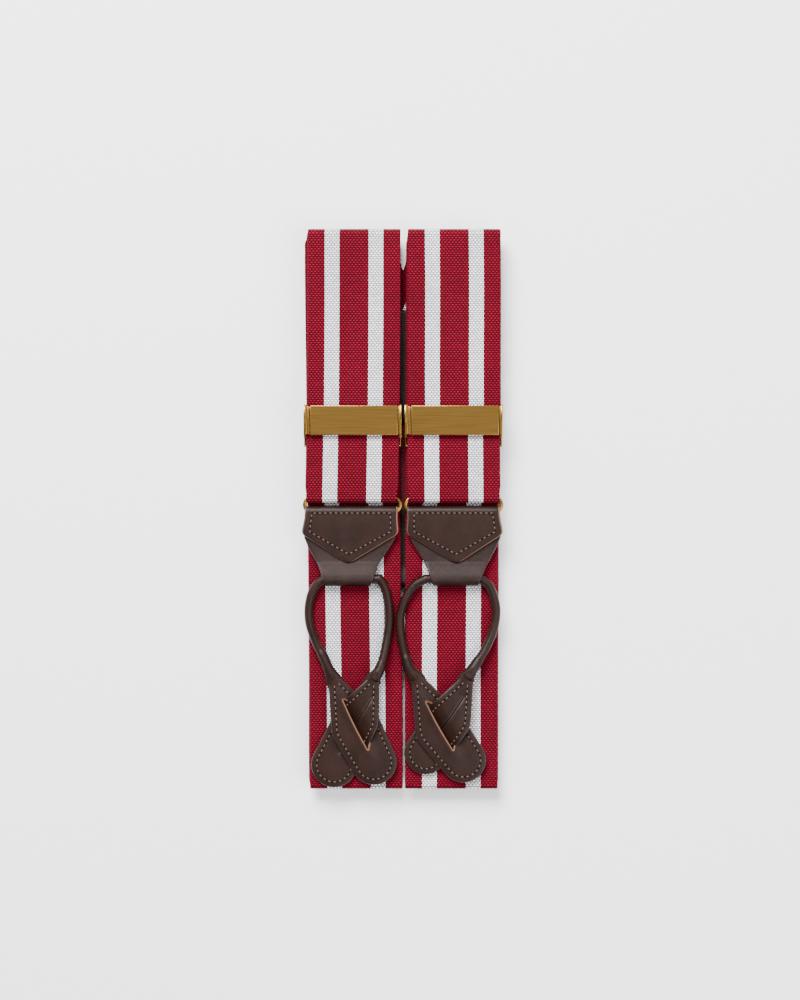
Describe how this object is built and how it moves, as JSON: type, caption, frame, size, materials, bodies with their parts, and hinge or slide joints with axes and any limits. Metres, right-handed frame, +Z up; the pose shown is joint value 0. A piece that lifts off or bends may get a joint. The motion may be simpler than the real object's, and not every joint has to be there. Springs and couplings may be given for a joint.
{
  "type": "suspenders",
  "caption": "Folded pair of striped woven suspenders with brass lever adjusters, leather ends on wire rings, rolled leather cords and crossed button tabs.",
  "frame": {"origin": "on the table, under the middle of the folded pack", "axes": "+Z up from the table, +Y along the straps from the bottom fold to the top fold, +X to the right as seen from above with the leather ends towards the viewer"},
  "size_m": [0.0856, 0.239, 0.0157],
  "materials": {
    "webbing": "woven barathea rayon with two white stripes",
    "elastic": "woven elastic",
    "leather": "dark brown smooth calf, satin",
    "gilt_brass": "brushed gilt"
  },
  "bodies": {
    "straps": {"strap_left": "webbing", "strap_right": "webbing", "patch_face": "leather", "patch_lining": "leather", "back_elastic": "elastic"},
    "adjuster_left": {"adjuster_frame_left": "gilt_brass", "adjuster_pin_left": "gilt_brass", "adjuster_loop_left": "gilt_brass", "strap_run_left": "webbing"},
    "lever_left": {"adjuster_lever_left": "gilt_brass"},
    "ring_left": {"end_ring_left": "gilt_brass"},
    "end_left": {"end_flap_left": "leather", "end_back_left": "leather"},
    "button_loop_left": {"cord_left": "leather", "front_tab_face_left": "leather", "front_tab_lining_left": "leather", "rear_tab_face_left": "leather", "rear_tab_lining_left": "leather"},
    "adjuster_right": {"adjuster_frame_right": "gilt_brass", "adjuster_pin_right": "gilt_brass", "adjuster_loop_right": "gilt_brass", "strap_run_right": "webbing"},
    "lever_right": {"adjuster_lever_right": "gilt_brass"},
    "ring_right": {"end_ring_right": "gilt_brass"},
    "end_right": {"end_flap_right": "leather", "end_back_right": "leather"},
    "button_loop_right": {"cord_right": "leather", "front_tab_face_right": "leather", "front_tab_lining_right": "leather", "rear_tab_face_right": "leather", "rear_tab_lining_right": "leather"},
    "back_end": {"back_end_face": "leather", "back_end_lining": "leather"},
    "back_button_loop": {"back_cord": "leather", "back_tab_left_face": "leather", "back_tab_left_lining": "leather", "back_tab_right_face": "leather", "back_tab_right_lining": "leather"}
  },
  "joints": [
    {"name": "adjuster_slide_left", "type": "slide", "parent": "straps", "child": "adjuster_left", "axis": [0, 1, 0], "range_m": [0, 0.055]},
    {"name": "lever_hinge_left", "type": "hinge", "parent": "adjuster_left", "child": "lever_left", "pos_m": [-0.0215, 0.0429, 0.01455], "axis": [-1, 0, 0], "range_deg": [0, 100]},
    {"name": "ring_travel_left", "type": "slide", "parent": "adjuster_left", "child": "ring_left", "axis": [0, 1, 0], "range_m": [-0.0275, 0], "deforming": ["strap_run_left"]},
    {"name": "end_pivot_left", "type": "hinge", "parent": "ring_left", "child": "end_left", "pos_m": [-0.0215, -0.0011, 0.01095], "axis": [-1, 0, 0], "range_deg": [0, 90]},
    {"name": "loop_pivot_left", "type": "hinge", "parent": "end_left", "child": "button_loop_left", "pos_m": [-0.0215, -0.0297, 0.01148], "axis": [-1, 0, 0], "range_deg": [0, 80]},
    {"name": "adjuster_slide_right", "type": "slide", "parent": "straps", "child": "adjuster_right", "axis": [0, 1, 0], "range_m": [0, 0.055]},
    {"name": "lever_hinge_right", "type": "hinge", "parent": "adjuster_right", "child": "lever_right", "pos_m": [0.0215, 0.0429, 0.01455], "axis": [-1, 0, 0], "range_deg": [0, 100]},
    {"name": "ring_travel_right", "type": "slide", "parent": "adjuster_right", "child": "ring_right", "axis": [0, 1, 0], "range_m": [-0.0275, 0], "deforming": ["strap_run_right"]},
    {"name": "end_pivot_right", "type": "hinge", "parent": "ring_right", "child": "end_right", "pos_m": [0.0215, -0.0011, 0.01095], "axis": [-1, 0, 0], "range_deg": [0, 90]},
    {"name": "loop_pivot_right", "type": "hinge", "parent": "end_right", "child": "button_loop_right", "pos_m": [0.0215, -0.0297, 0.01148], "axis": [-1, 0, 0], "range_deg": [0, 80]},
    {"name": "back_stretch", "type": "slide", "parent": "straps", "child": "back_end", "axis": [0, -1, 0], "range_m": [0, 0.02], "stiffness_N_per_m": 120, "deforming": ["back_elastic"]},
    {"name": "back_loop_pivot", "type": "hinge", "parent": "back_end", "child": "back_button_loop", "pos_m": [0, -0.031, 0.00258], "axis": [1, 0, 0], "range_deg": [0, 90]}
  ],
  "couplings": [
    {"joint": "ring_travel_left", "follows": "adjuster_slide_left", "ratio": -0.5},
    {"joint": "ring_travel_right", "follows": "adjuster_slide_right", "ratio": -0.5}
  ]
}
